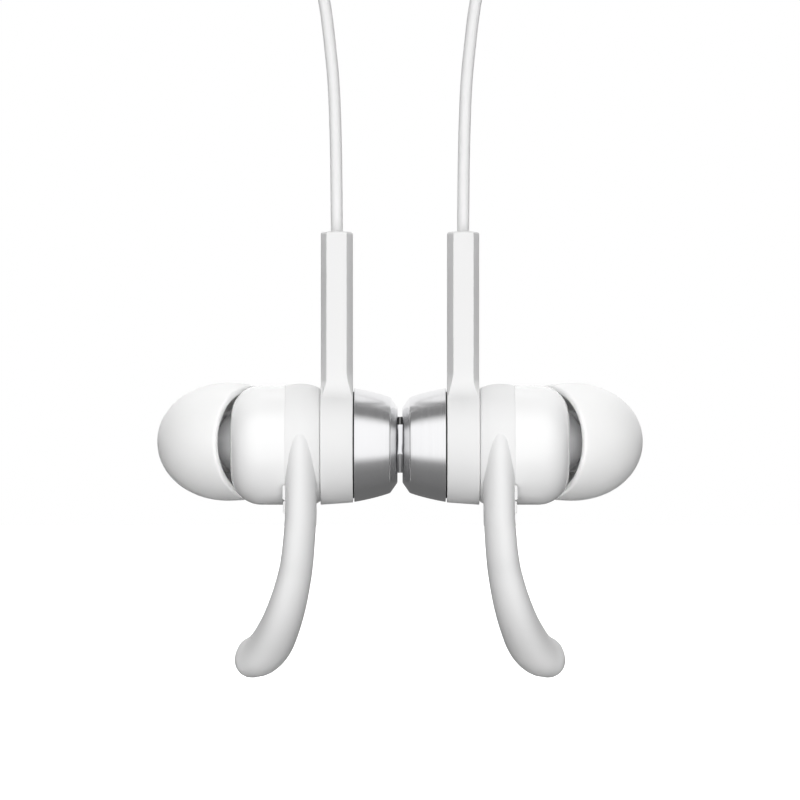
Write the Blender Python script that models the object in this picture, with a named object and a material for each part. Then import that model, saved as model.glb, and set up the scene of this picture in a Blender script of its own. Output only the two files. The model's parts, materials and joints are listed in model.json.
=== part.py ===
"""Neckband earphones, hung by the neckband, with the two buds clasped back to back below it.

Frame: +Z up, the wearer faces -Y and the wearer's left is +X. The origin is the middle of the
neckband's flat underside at the nape. Each side is modelled once, on the left, and the right
side is its mirror image. Sizes are in millimetres, and MM turns them into Blender's metres.

Places on a bud are (a, y, z) from its own centre: a runs along the bud's axis, outward from the
plane where the two buds meet. Places on a pod are (u, v, w): forward, outward and up.
"""
import math

import bmesh
import bpy
from mathutils import Matrix, Vector

MM = 0.001
SIDES = ("left", "right")
GAP = 0.1                       # running and assembly clearance between neighbouring pieces

# Buds
BUD_Y, BUD_Z = -140.0, -180.0   # the common axis of the two clasped buds
BUD_SEGMENTS = 28
FINE_SEGMENTS = 20              # small turned pieces

CAP_BACK, CAP_RIM = 0.27, 4.93
CAP_RECESS_R, CAP_FLOOR = 3.1, 0.62
SEAL_START, SEAL_END, SEAL_INNER_R, SEAL_OUTER_R = 4.65, 5.35, 5.15, 5.75
MAGNET_START, MAGNET_END, MAGNET_R = 1.4, 3.0, 3.8

RING_START, RING_END, RING_BORE_R = 5.07, 8.55, 5.3
RING_BACK_R, BODY_R = 6.2, 6.45
STEM_CENTRE, STEM_WIDTH, STEM_DEPTH = 6.81, 3.45, 5.8
STEM_FOOT, STEM_TOP, STEM_TOP_ROUNDING, STEM_FILLET = 4.5, 23.0, 0.25, 2.6
CAP_SIDE_CHAMFER, FIN_SIDE_CHAMFER, CHAMFER_DEPTH = 0.75, 0.54, 1.9
CHAMFER_START, CHAMFER_FULL = 4.9, 7.2      # heights over which the chamfers grow

FIN_START, FIN_END, FIN_BORE_R = 8.65, 12.25, 5.6
NECK_R, SPIGOT_R, SPIGOT_START, SPIGOT_END = 5.45, 5.2, 7.5, 8.9
SHOULDER, FRONT_FACE, CORNER_R = 12.35, 18.25, 3.35
SHELL_BORE_R, SHELL_BORE_END = 4.75, 13.0
CHAMBER_END, CHAMBER_R = 16.9, 2.5

# Nozzle and ear tip, along an axis that leaves the bud's axis at NOZZLE_FROM
NOZZLE_FROM, NOZZLE_TILT, NOZZLE_RISE = 10.9, math.radians(38.0), 0.3
COLLAR_START, COLLAR_END, COLLAR_R = 5.2, 9.0, 3.2
STALK_R, LIP_R, SOUND_R = 2.4, 2.55, 1.7
NOZZLE_END, MESH_R = 14.8, 1.9
TIP_RIM, TIP_WIDEST, TIP_APEX, TIP_FULLNESS = 6.75, 9.9, 18.35, 2.1
TIP_R, TIP_WALL, TIP_CORE_R = 6.43, 0.5, 2.65

# Neckband
POD_REAR = (60.0, -68.0)        # middle of the left pod's rear face
POD_LEAN = math.radians(16.7)   # the pods converge towards the front by this angle
POD_LENGTH, POD_WIDTH, POD_HEIGHT, POD_SPLIT = 52.0, 12.0, 9.0, 4.5
POD_WALL = 1.2
NOSE_END = 58.0
RELIEF_END, RELIEF_R, RELIEF_TIP_R = 69.0, 1.65, 0.95
BAND_WIDTH, BAND_HEIGHT = 6.0, 5.5
BAND_HANDLES = (37.0, 36.0)     # Bezier handle lengths at the nape and at the pod
BAND_STEPS = 12                 # stretches in each half of the band
BAND_GAP = 0.25                 # between the sleeve's end and the pod's rear face
CHANNEL_R, WIRE_R, WIRE_INTO_POD = 0.75, 0.6, 5.0
BUTTONS = {"volume_up": 26.0, "play": 18.0, "volume_down": 10.0}    # u of each button's middle
PORT_U, PORT_W = 37.5, 5.1
COVER_HINGE = (30.6, 6.75)      # (u, v) of the port cover's hinge line

# Cords, from the pod's strain relief down to the stem of the bud
CORD_R = 0.65
CORD_GAP = 0.3                  # between a cord's end face and the piece it goes into
CORD_SPACING = 3.6
CORD_ROUTE = (
    (39.2, -137.3, 4.2), (38.3, -140.4, 2.6), (37.6, -142.9, -0.6), (37.1, -144.5, -5.4),
    (36.5, -145.2, -12.0), (35.2, -145.3, -22.0), (32.9, -145.0, -36.0), (29.3, -144.3, -52.0),
    (25.0, -143.5, -68.0), (20.4, -142.6, -84.0), (15.9, -141.7, -100.0), (12.2, -141.0, -114.0),
    (9.75, -140.4, -124.4), (8.2, -140.1, -131.94), (7.5, -140.0, -137.4),
    (7.12, -140.0, -141.9), (6.91, -140.0, -148.5),
)

# (a, y, z, radius) down the middle of the stabiliser fin's arm
FIN_ARM = (
    (10.75, -4.6, 1.7, 1.1), (10.72, -4.82, 0.8, 1.52), (10.67, -5.1, -0.5, 1.63),
    (10.64, -5.22, -1.6, 1.66), (10.62, -5.2, -4.4, 1.68), (10.62, -5.1, -7.6, 1.68),
    (10.68, -5.0, -8.6, 1.69), (10.92, -4.65, -11.5, 1.73), (11.18, -4.1, -13.4, 1.79),
    (11.61, -3.5, -15.4, 1.9), (12.15, -2.6, -17.35, 2.03), (12.86, -1.2, -19.35, 2.16),
    (13.82, 0.8, -21.38, 2.33), (14.75, 2.1, -22.5, 2.32), (15.62, 3.0, -22.9, 2.18),
)
ARM_SIDES = 12


# ---------------------------------------------------------------- meshes

def new_object(name, bm, material, place):
    """One closed, outward-facing object from a bmesh in millimetres."""
    bmesh.ops.recalc_face_normals(bm, faces=bm.faces)
    bm.transform(Matrix.Scale(MM, 4) @ place)
    mesh = bpy.data.meshes.new(name)
    bm.to_mesh(mesh)
    bm.free()
    mesh.materials.append(material)
    obj = bpy.data.objects.new(name, mesh)
    bpy.context.scene.collection.objects.link(obj)
    return obj


def skin(name, rings, material, place, loop=False):
    """Join rings of points with faces. A ring of one point is a pole, and open ends are capped."""
    bm = bmesh.new()
    rows = [[bm.verts.new(point) for point in ring] for ring in rings]
    pairs = list(zip(rows, rows[1:]))
    if loop:
        pairs.append((rows[-1], rows[0]))
    for low, high in pairs:
        count = max(len(low), len(high))
        for i in range(count):
            j = (i + 1) % count
            if len(low) == 1:
                bm.faces.new((low[0], high[j], high[i]))
            elif len(high) == 1:
                bm.faces.new((low[i], low[j], high[0]))
            else:
                bm.faces.new((low[i], low[j], high[j], high[i]))
    if not loop:
        for row in (rows[0], rows[-1]):
            if len(row) > 1:
                bm.faces.new(row)
    return new_object(name, bm, material, place)


def turned(name, profile, material, place, segments=BUD_SEGMENTS):
    """Turn a profile of (distance along the axis, radius) about local Z.

    A profile that starts and ends on the axis is a solid, and any other is a closed ring.
    """
    rings = []
    for along, radius in profile:
        if radius == 0:
            rings.append([(0, 0, along)])
            continue
        angles = [2 * math.pi * i / segments for i in range(segments)]
        rings.append([(radius * math.cos(t), radius * math.sin(t), along) for t in angles])
    return skin(name, rings, material, place, loop=profile[0][1] != 0)


def cylinder(name, start, end, radius, material, place, segments=FINE_SEGMENTS):
    profile = [(start, 0), (start, radius), (end, radius), (end, 0)]
    return turned(name, profile, material, place, segments)


def outline(length, width, corners, inset, steps):
    """Rectangle about its centre with rounded corners: corners are (rear, front) radii."""
    half_u, half_v = length / 2 - inset, width / 2 - inset
    rear, front = (max(radius - inset, 0.05) for radius in corners)
    points = []
    for sign_u, sign_v, radius, start in ((1, 1, front, 0), (-1, 1, rear, 90),
                                          (-1, -1, rear, 180), (1, -1, front, 270)):
        for i in range(steps + 1):
            angle = math.radians(start + 90 * i / steps)
            points.append((sign_u * (half_u - radius) + radius * math.cos(angle),
                           sign_v * (half_v - radius) + radius * math.sin(angle)))
    return points


def block(name, size, levels, material, place, centre=(0, 0), corners=(0.4, 0.4), steps=1):
    """Upright prism with rounded corners: levels are (height, inset of the outline there)."""
    rings = [[(centre[0] + u, centre[1] + v, height)
              for u, v in outline(size[0], size[1], corners, inset, steps)]
             for height, inset in levels]
    return skin(name, rings, material, place)


def tube(name, stations, sides, material, place):
    """Round bar with a domed lower end through stations of (x, y, z, radius)."""
    points = [Vector(station[:3]) for station in stations]
    rings = []
    normal = Vector((1, 0, 0))
    for i, point in enumerate(points):
        tangent = (points[min(i + 1, len(points) - 1)] - points[max(i - 1, 0)]).normalized()
        normal = (normal - tangent * normal.dot(tangent)).normalized()
        across = tangent.cross(normal)
        radius = stations[i][3]
        dome = [(0.0, 1.0)]
        if i == len(points) - 1:
            dome += [(math.sin(t), math.cos(t)) for t in (math.radians(30), math.radians(60))]
        for forward, scale in dome:
            centre = point + tangent * radius * forward
            angles = [2 * math.pi * k / sides for k in range(sides)]
            rings.append([centre + (normal * math.cos(t) + across * math.sin(t)) * radius * scale
                          for t in angles])
    rings.append([points[-1] + tangent * radius])
    return skin(name, rings, material, place)


def boolean(obj, tool, operation):
    """Combine a tool with an object, keep the result as plain mesh and drop the tool."""
    modifier = obj.modifiers.new(operation.lower(), "BOOLEAN")
    modifier.operation = operation
    modifier.solver = "EXACT"
    modifier.object = tool
    graph = bpy.context.evaluated_depsgraph_get()
    mesh = bpy.data.meshes.new_from_object(obj.evaluated_get(graph))
    obj.modifiers.clear()
    obj.data = mesh
    bpy.data.objects.remove(tool)
    return obj


def cut(obj, tool):
    return boolean(obj, tool, "DIFFERENCE")


def join(obj, tool):
    return boolean(obj, tool, "UNION")


def mirror(obj):
    """Move a left-hand piece to the right-hand side."""
    obj.data.transform(Matrix.Scale(-1, 4, (1, 0, 0)))
    if obj.type == "MESH":
        obj.data.flip_normals()


def hang(obj, empty):
    """Parent a piece to its joint, with its origin on the joint's axis."""
    obj.data.transform(Matrix.Translation(-empty.location))
    obj.parent = empty


def spline(points, spacing):
    """Evenly spaced points on a Catmull-Rom curve through the given ones."""
    ends = [2 * points[0] - points[1], *points, 2 * points[-1] - points[-2]]
    fine = []
    for p0, p1, p2, p3 in zip(ends, ends[1:], ends[2:], ends[3:]):
        for i in range(16):
            t = i / 16
            fine.append(0.5 * (2 * p1 + (p2 - p0) * t + (2 * p0 - 5 * p1 + 4 * p2 - p3) * t ** 2
                               + (3 * p1 - p0 - 3 * p2 + p3) * t ** 3))
    fine.append(points[-1])
    total = sum((b - a).length for a, b in zip(fine, fine[1:]))
    count = round(total / spacing)
    even, travelled = [fine[0]], 0.0
    for a, b in zip(fine, fine[1:]):
        step = (b - a).length
        while len(even) < count and travelled + step >= len(even) * total / count:
            even.append(a.lerp(b, (len(even) * total / count - travelled) / step))
        travelled += step
    even.append(fine[-1])
    return even


def wire(name, points, radius, material):
    """Round wire or cord along points in millimetres, with flat closed ends."""
    curve = bpy.data.curves.new(name, "CURVE")
    curve.dimensions = "3D"
    curve.bevel_depth = radius * MM
    curve.bevel_resolution = 2
    curve.use_fill_caps = True
    line = curve.splines.new("POLY")
    line.points.add(len(points) - 1)
    for target, point in zip(line.points, points):
        target.co = (*(point * MM), 1)
    curve.materials.append(material)
    obj = bpy.data.objects.new(name, curve)
    bpy.context.scene.collection.objects.link(obj)
    return obj


# ---------------------------------------------------------------- materials and places

def finish(name, colour, roughness, metallic=0.0):
    material = bpy.data.materials.new(name)
    material.use_nodes = True
    shader = material.node_tree.nodes["Principled BSDF"]
    shader.inputs["Base Color"].default_value = (*colour, 1)
    shader.inputs["Roughness"].default_value = roughness
    shader.inputs["Metallic"].default_value = metallic
    return material


for old in list(bpy.data.objects):
    bpy.data.objects.remove(old)

GLOSS = finish("gloss_white", (0.86, 0.86, 0.86), 0.16)
SATIN = finish("satin_white", (0.8, 0.8, 0.8), 0.38)
SILICONE = finish("white_silicone", (0.79, 0.79, 0.79), 0.55)
CORD = finish("white_cord", (0.78, 0.78, 0.78), 0.45)
ALUMINIUM = finish("brushed_aluminium", (0.8, 0.8, 0.81), 0.25, 1)
STEEL = finish("polished_steel", (0.72, 0.72, 0.74), 0.12, 1)
GREY_METAL = finish("grey_metal", (0.78, 0.78, 0.79), 0.45, 1)
BLACK = finish("black_rubber", (0.02, 0.02, 0.02), 0.6)
MAGNET = finish("plated_magnet", (0.6, 0.58, 0.55), 0.3, 1)
FILM = finish("amber_film", (0.6, 0.42, 0.15), 0.3)
BOARD = finish("green_board", (0.02, 0.16, 0.07), 0.5)
FOIL = finish("cell_foil", (0.62, 0.63, 0.65), 0.35, 1)
LIGHT_PIPE = finish("light_pipe", (0.9, 0.92, 0.95), 0.2)

BUD = Matrix.Translation((0, BUD_Y, BUD_Z))
BUD_AXIS = BUD @ Matrix(((0, 0, 1, 0), (1, 0, 0, 0), (0, 1, 0, 0), (0, 0, 0, 1)))
COS, SIN = math.cos(NOZZLE_TILT), math.sin(NOZZLE_TILT)
NOZZLE_AXIS = BUD @ Matrix(((-SIN, 0, COS, NOZZLE_FROM), (COS, 0, SIN, 0),
                            (0, 1, 0, NOZZLE_RISE), (0, 0, 0, 1)))
STEM = BUD @ Matrix.Translation((STEM_CENTRE, 0, 0))
POD = Matrix.Translation((*POD_REAR, 0)) @ Matrix.Rotation(-math.pi / 2 - POD_LEAN, 4, "Z")


def along_pod(w, v=0.0):
    """Local Z along the pod, at height w."""
    return POD @ Matrix.Translation((0, v, w)) @ Matrix.Rotation(math.pi / 2, 4, "Y")


# ---------------------------------------------------------------- bud pieces

def contact_disc(name):
    return cylinder(name, 0.05, CAP_FLOOR - GAP, CAP_RECESS_R - GAP, STEEL, BUD_AXIS)


def end_cap(name):
    profile = [
        (CAP_FLOOR, 0), (CAP_FLOOR, CAP_RECESS_R), (CAP_BACK, CAP_RECESS_R), (CAP_BACK, 4.05),
        (1.05, 5.18), (2.3, 5.62), (3.6, 5.93), (CAP_RIM, 6.15),
        (CAP_RIM, SEAL_OUTER_R + GAP), (SEAL_START - GAP, SEAL_OUTER_R + GAP),
        (SEAL_START - GAP, 4.9), (3.4, 4.6), (3.2, MAGNET_R + GAP),
        (MAGNET_START - GAP, MAGNET_R + GAP), (MAGNET_START - GAP, 0),
    ]
    return turned(name, profile, ALUMINIUM, BUD_AXIS)


def clasp_magnet(name):
    return cylinder(name, MAGNET_START, MAGNET_END, MAGNET_R, MAGNET, BUD_AXIS)


def cap_seal(name):
    profile = [(SEAL_START, SEAL_INNER_R), (SEAL_START, SEAL_OUTER_R),
               (SEAL_END, SEAL_OUTER_R), (SEAL_END, SEAL_INNER_R)]
    return turned(name, profile, BLACK, BUD_AXIS, FINE_SEGMENTS)


def stem_shell(name):
    """The ring behind the fin and the stem that stands on it, in one moulding."""
    step_r, step_end = SEAL_OUTER_R + GAP, SEAL_END + GAP
    ring = turned(name, [(RING_START, step_r), (RING_START, RING_BACK_R), (RING_END, BODY_R),
                         (RING_END, RING_BORE_R), (step_end, RING_BORE_R), (step_end, step_r)],
                  SATIN, BUD_AXIS)
    join(ring, stem())
    cut(ring, cylinder("seal_seat", 4.0, step_end, step_r, SATIN, BUD_AXIS, BUD_SEGMENTS))
    cut(ring, cylinder("ring_bore", 4.0, RING_END + 1, RING_BORE_R, SATIN, BUD_AXIS, BUD_SEGMENTS))
    passage = [(4.6, 0), (4.6, 0.7), (19.9, 0.7), (19.9, 1.25), (STEM_TOP + 1, 1.25),
               (STEM_TOP + 1, 0)]
    return cut(ring, turned("passage", passage, SATIN, STEM, 16))


def stem_front(z):
    """Distance of the stem's front from the bud's axis: flat, then a fillet, then the ring's round."""
    centre_y = STEM_DEPTH / 2 + STEM_FILLET
    centre_z = math.sqrt((RING_BACK_R + STEM_FILLET) ** 2 - centre_y ** 2)
    if z >= centre_z:
        return STEM_DEPTH / 2
    if z >= centre_z * RING_BACK_R / (RING_BACK_R + STEM_FILLET):
        return centre_y - math.sqrt(STEM_FILLET ** 2 - (centre_z - z) ** 2)
    return math.sqrt(RING_BACK_R ** 2 - z ** 2)


def stem():
    """Flattened hexagon of a stem. Its chamfers fade out as its front runs into the ring."""
    levels = [(STEM_FOOT + 0.5 * i, 0.0) for i in range(7)]
    levels += [(STEM_TOP - STEM_TOP_ROUNDING, 0.0), (STEM_TOP, STEM_TOP_ROUNDING)]
    rings = []
    for z, inset in levels:
        share = min(max((z - CHAMFER_START) / (CHAMFER_FULL - CHAMFER_START), 0.02), 1.0)
        outer, front = STEM_WIDTH / 2 - inset, stem_front(z) - inset
        shoulder = front - CHAMFER_DEPTH * share
        cap_flat, fin_flat = outer - CAP_SIDE_CHAMFER * share, outer - FIN_SIDE_CHAMFER * share
        points = [(outer, shoulder), (fin_flat, front), (-cap_flat, front), (-outer, shoulder)]
        points += [(x, -y) for x, y in reversed(points)]
        rings.append([(x, y, z) for x, y in points])
    return skin("stem", rings, SATIN, STEM)


def cord_gland(name):
    return cylinder(name, 20.0, STEM_TOP, 1.15, SILICONE, STEM, 16)


def front_shell(name):
    corner = [(FRONT_FACE - CORNER_R + CORNER_R * math.cos(t), BODY_R - CORNER_R + CORNER_R * math.sin(t))
              for t in (math.radians(18 * i) for i in range(6))]
    profile = [
        (FRONT_FACE, 0), *corner, (SHOULDER, BODY_R), (SHOULDER, NECK_R), (SPIGOT_END, NECK_R),
        (SPIGOT_END, SPIGOT_R), (SPIGOT_START, SPIGOT_R), (SPIGOT_START, SHELL_BORE_R),
        (SHELL_BORE_END, SHELL_BORE_R), (CHAMBER_END, CHAMBER_R), (CHAMBER_END, 0),
    ]
    shell = turned(name, profile, GLOSS, BUD_AXIS)
    seat, clear = COLLAR_START - GAP, COLLAR_R + GAP
    nozzle_hole = [(3.0, 0), (3.0, SOUND_R), (seat, SOUND_R), (seat, clear), (12.0, clear),
                   (12.0, 0)]
    return cut(shell, turned("nozzle_hole", nozzle_hole, GLOSS, NOZZLE_AXIS, FINE_SEGMENTS))


def nozzle(name):
    profile = [
        (COLLAR_START, SOUND_R), (COLLAR_START, COLLAR_R), (COLLAR_END, COLLAR_R),
        (COLLAR_END, STALK_R), (13.4, STALK_R), (13.4, LIP_R), (NOZZLE_END - 0.4, LIP_R),
        (NOZZLE_END, STALK_R), (NOZZLE_END, MESH_R + GAP), (14.3, MESH_R + GAP), (14.3, SOUND_R),
    ]
    return turned(name, profile, GREY_METAL, NOZZLE_AXIS, FINE_SEGMENTS)


def nozzle_mesh(name):
    return cylinder(name, 14.4, 14.65, MESH_R, GREY_METAL, NOZZLE_AXIS)


def ear_tip(name):
    """Mushroom of thin silicone: an outer dome and, inside it, the core that grips the nozzle."""
    def dome(radius, apex, along):
        share = (along - TIP_WIDEST) / (apex - TIP_WIDEST)
        return radius * (1 - share ** TIP_FULLNESS) ** (1 / TIP_FULLNESS)

    inner_apex = TIP_APEX - 2 * TIP_WALL
    outer = [(t, dome(TIP_R, TIP_APEX, t)) for t in (TIP_WIDEST, 12.0, 14.0, 15.8, 17.1, 17.85)]
    inner = [(t, dome(TIP_R - TIP_WALL, inner_apex, t)) for t in (15.2, 13.6, 11.8, TIP_WIDEST)]
    profile = [
        (TIP_RIM, 6.1), (8.0, 6.32), *outer, (17.4, 2.0), (14.95, 2.0), (14.95, TIP_CORE_R),
        (9.5, TIP_CORE_R), (9.5, 3.4), (14.8, 3.4), *inner, (8.0, 5.8), (TIP_RIM, 5.65),
    ]
    return turned(name, profile, SILICONE, NOZZLE_AXIS, FINE_SEGMENTS)


def driver_basket(name):
    profile = [(9.2, 0), (9.2, 4.6), (12.0, 4.6), (12.0, 4.2), (9.7, 4.2), (9.7, 0)]
    return turned(name, profile, GREY_METAL, BUD_AXIS, FINE_SEGMENTS)


def driver_magnet(name):
    return cylinder(name, 9.8, 11.3, 2.6, MAGNET, BUD_AXIS)


def driver_diaphragm(name):
    profile = [(12.75, 0), (12.15, 3.3), (12.1, 4.6), (12.3, 4.6), (12.35, 3.3), (12.95, 0)]
    return turned(name, profile, FILM, BUD_AXIS, FINE_SEGMENTS)


def ear_fin(name):
    """Silicone ring in the bud's groove, with the curved arm that braces in the ear."""
    profile = [(FIN_START, FIN_BORE_R), (FIN_START, 6.15), (9.4, 6.46), (10.7, 6.64),
               (11.6, 6.58), (FIN_END, BODY_R), (FIN_END, FIN_BORE_R)]
    ring = turned(name, profile, SILICONE, BUD_AXIS)
    join(ring, tube("arm", FIN_ARM, ARM_SIDES, SILICONE, BUD))
    bore = cylinder("bore", FIN_START - 1, FIN_END + 1, FIN_BORE_R, SILICONE, BUD_AXIS, BUD_SEGMENTS)
    return cut(ring, bore)


def cord(name):
    start = POD @ Vector((RELIEF_END + CORD_GAP, 0, POD_SPLIT))
    end = STEM @ Vector((0, 0, STEM_TOP + CORD_GAP))
    route = [start, *(Vector(point) for point in CORD_ROUTE), end]
    return wire(name, spline(route, CORD_SPACING), CORD_R, CORD)


# ---------------------------------------------------------------- neckband pieces

POD_CORNERS = (3.0, 0.3)
POD_STEPS = 3


def pod_middle(start, end):
    return ((start + end) / 2, 0)


def pod_half(name, levels, cavity_levels):
    """One half of a pod: a tray with walls all round, and the notch for the strain relief."""
    half = block(name, (POD_LENGTH, POD_WIDTH), levels, GLOSS, POD,
                 pod_middle(0, POD_LENGTH), POD_CORNERS, POD_STEPS)
    cavity = block("cavity", (POD_LENGTH - 2 * POD_WALL, POD_WIDTH - 2 * POD_WALL),
                   cavity_levels, GLOSS, POD, pod_middle(0, POD_LENGTH), (1.8, 0.3), POD_STEPS)
    cut(half, cavity)
    return cut(half, cylinder("cord_notch", POD_LENGTH - 3, POD_LENGTH + 1, RELIEF_R + GAP,
                              GLOSS, along_pod(POD_SPLIT), 16))


def port_hole():
    return block("port_hole", (9.5, 4.0), ((PORT_W - 1.85, 0), (PORT_W + 1.85, 0)), GLOSS, POD,
                 (PORT_U, POD_WIDTH / 2), (0.5, 0.5))


def pod_lower(name):
    levels = ((0, 0.6), (0.6, 0), (POD_SPLIT - GAP / 2, 0))
    half = pod_half(name, levels, ((POD_WALL, 0), (POD_SPLIT + 1, 0)))
    cut(half, cylinder("wire_hole", -1, 2, CHANNEL_R + GAP, GLOSS, along_pod(BAND_HEIGHT / 2), 12))
    return cut(half, port_hole()) if name.endswith("right") else half


def pod_upper(name):
    levels = ((POD_SPLIT + GAP / 2, 0), (POD_HEIGHT - 1.8, 0), (POD_HEIGHT - 0.6, 0.6),
              (POD_HEIGHT, 1.8))
    half = pod_half(name, levels, ((POD_SPLIT - 1, 0), (POD_HEIGHT - POD_WALL, 0)))
    if name.endswith("right"):
        cut(half, port_hole())
        for u in BUTTONS.values():
            cut(half, block("button_hole", (6.2, 4.8), ((7, 0), (10, 0)), GLOSS, POD, (u, 0),
                            (1.3, 1.3), 2))
        for u, radius in ((4.6, 0.9), (46.0, 1.2)):
            hole = POD @ Matrix.Translation((u, 0, 0))
            cut(half, cylinder("hole", 7, 10, radius, GLOSS, hole, 12))
    return half


def pod_nose(name):
    levels = ((0, 0.6), (0.6, 0), (POD_HEIGHT - 1.8, 0), (POD_HEIGHT - 0.6, 0.6),
              (POD_HEIGHT, 1.8))
    start = POD_LENGTH + 0.15
    nose = block(name, (NOSE_END - start, POD_WIDTH), levels, ALUMINIUM, POD,
                 pod_middle(start, NOSE_END), (0.3, 3.0), POD_STEPS)
    return cut(nose, cylinder("bore", POD_LENGTH - 1, NOSE_END + 1, RELIEF_R + GAP, ALUMINIUM,
                              along_pod(POD_SPLIT), 16))


def cord_relief(name):
    """Moulded onto the cord: a flange held inside the pod and a tapering sleeve outside it."""
    inside = POD_LENGTH - POD_WALL - GAP
    profile = [(inside - 1.6, 0), (inside - 1.6, 2.4), (inside, 2.4), (inside, RELIEF_R),
               (NOSE_END + 0.3, RELIEF_R), (RELIEF_END, RELIEF_TIP_R), (RELIEF_END, 0)]
    return turned(name, profile, SILICONE, along_pod(POD_SPLIT), 16)


def battery_cell(name):
    return block(name, (34, 8.8), ((1.5, 0.5), (2.0, 0), (6.6, 0), (7.1, 0.5)), FOIL, POD,
                 (27, 0), (0.8, 0.8), 2)


def main_board(name):
    return block(name, (40, 8.8), ((2.5, 0), (3.2, 0)), BOARD, POD, (27, 0), (0.6, 0.6))


def usb_port(name):
    """Drawn metal socket, open towards the pod's outer side."""
    shell = block(name, (9.0, 7.0), ((3.35, 0.2), (3.55, 0), (6.65, 0), (6.85, 0.2)), STEEL, POD,
                  (PORT_U, 2.2), (0.3, 0.3))
    mouth = block("mouth", (8.3, 8.0), ((PORT_W - 1.25, 0), (PORT_W + 1.25, 0)), STEEL, POD,
                  (PORT_U, 3.7), (0.3, 0.3))
    return cut(shell, mouth)


def port_cover(name):
    """Silicone flap over the socket, bending at its rear end."""
    bar = Matrix.Translation((COVER_HINGE[0] - 0.5, COVER_HINGE[1], 0))
    flap = block(name, (14.0, 1.0), ((PORT_W - 2.6, 0.25), (PORT_W - 2.3, 0), (PORT_W + 2.3, 0),
                                     (PORT_W + 2.6, 0.25)), SILICONE, POD @ bar, (7.0, 0),
                 (0.45, 0.3))
    tongue = block("tongue", (7.6, 1.0), ((PORT_W - 1.0, 0), (PORT_W + 1.0, 0)), SILICONE, POD,
                   (PORT_U, 6.0), (0.2, 0.2))
    return join(flap, tongue)


def status_led(name):
    return cylinder(name, 7.2, POD_HEIGHT + 0.05, 0.8, LIGHT_PIPE,
                    POD @ Matrix.Translation((4.6, 0, 0)), 12)


def microphone_mesh(name):
    return cylinder(name, 8.2, POD_HEIGHT - 0.1, 1.1, GREY_METAL,
                    POD @ Matrix.Translation((46.0, 0, 0)), 12)


def button(name, u):
    """Key cap that stands proud of the pod, held in by the flange under the pod's top."""
    key = block(name, (6.0, 4.6), ((7.0, 0), (9.3, 0), (9.55, 0.4)), SATIN, POD, (u, 0), (1.2, 1.2), 2)
    join(key, block("flange", (7.0, 5.6), ((6.9, 0), (7.6, 0)), SATIN, POD, (u, 0), (1.2, 1.2)))
    return join(key, block("foot", (2.2, 2.2), ((5.4, 0), (7.2, 0)), SATIN, POD, (u, 0), (0.3, 0.3)))


def switch(name, u):
    return block(name, (3.6, 3.0), ((3.3, 0), (4.4, 0), (4.9, 0.9)), STEEL, POD, (u, 0), (0.3, 0.3))


def band_path(extra):
    """Middle of the band from the right pod round the nape to the left pod."""
    forward = POD.to_3x3() @ Vector((1, 0, 0))
    end = POD @ Vector((-BAND_GAP, 0, 0))
    nape_handle = Vector((BAND_HANDLES[0], 0, 0))
    pod_handle = end - forward * BAND_HANDLES[1]
    half = []
    for i in range(BAND_STEPS + 1):
        t = i / BAND_STEPS
        half.append(3 * (1 - t) ** 2 * t * nape_handle + 3 * (1 - t) * t ** 2 * pod_handle
                    + t ** 3 * end)
    half.append(end + forward * extra)
    return [Vector((-point.x, point.y, 0)) for point in reversed(half[1:])] + half


def band_sleeve(name):
    """Soft sleeve with a flat underside and a round channel for the wire."""
    path = band_path(WIRE_INTO_POD)
    outside = outline(BAND_WIDTH, BAND_HEIGHT, (1.8, 1.8), 0, 1)
    rings, inner = [], []
    for before, point, after in zip(path, path[1:], path[2:]):
        across = (after - before).cross(Vector((0, 0, 1))).normalized()
        middle = point + Vector((0, 0, BAND_HEIGHT / 2))
        rings.append([middle + across * x + Vector((0, 0, y)) for x, y in outside])
        angles = [math.atan2(y, x) for x, y in outside]
        inner.append([middle + (across * math.cos(t) + Vector((0, 0, math.sin(t)))) * CHANNEL_R
                      for t in angles])
    return skin(name, rings + inner[::-1], SILICONE, Matrix(), loop=True)


def band_wire(name):
    lift = Vector((0, 0, BAND_HEIGHT / 2))
    return wire(name, [point + lift for point in band_path(WIRE_INTO_POD)], WIRE_R, STEEL)


# ---------------------------------------------------------------- assembly

def joint_empty(name, point, side):
    """Marks a joint's axis. The pieces that move on it are its children."""
    empty = bpy.data.objects.new(name, None)
    empty.location = point * MM
    if side == "right":
        empty.location.x *= -1
    bpy.context.scene.collection.objects.link(empty)
    return empty


def add(build, name, side, empty=None):
    piece = build(name)
    if side == "right":
        mirror(piece)
    if empty:
        hang(piece, empty)
    if piece.type == "MESH":
        piece.data.shade_smooth()
        piece.data.set_sharp_from_angle(angle=math.radians(35))


BUD_BODY = (contact_disc, end_cap, clasp_magnet, cap_seal, stem_shell, cord_gland, front_shell,
            nozzle, nozzle_mesh, driver_basket, driver_magnet, driver_diaphragm, cord)
POD_BODY = (pod_lower, pod_upper, pod_nose, cord_relief)

for side in SIDES:
    swing = joint_empty(f"{side}_bud_swing", POD @ Vector((RELIEF_END, 0, POD_SPLIT)), side)
    tip_pull = joint_empty(f"{side}_tip_pull", NOZZLE_AXIS @ Vector((0, 0, COLLAR_END)), side)
    fin_turn = joint_empty(f"{side}_fin_turn", BUD @ Vector((FIN_START, 0, 0)), side)
    for build in BUD_BODY:
        add(build, f"{build.__name__}_{side}", side, swing)
    add(ear_tip, f"ear_tip_{side}", side, tip_pull)
    add(ear_fin, f"ear_fin_{side}", side, fin_turn)
    for build in POD_BODY:
        add(build, f"{build.__name__}_{side}", side)

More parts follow.
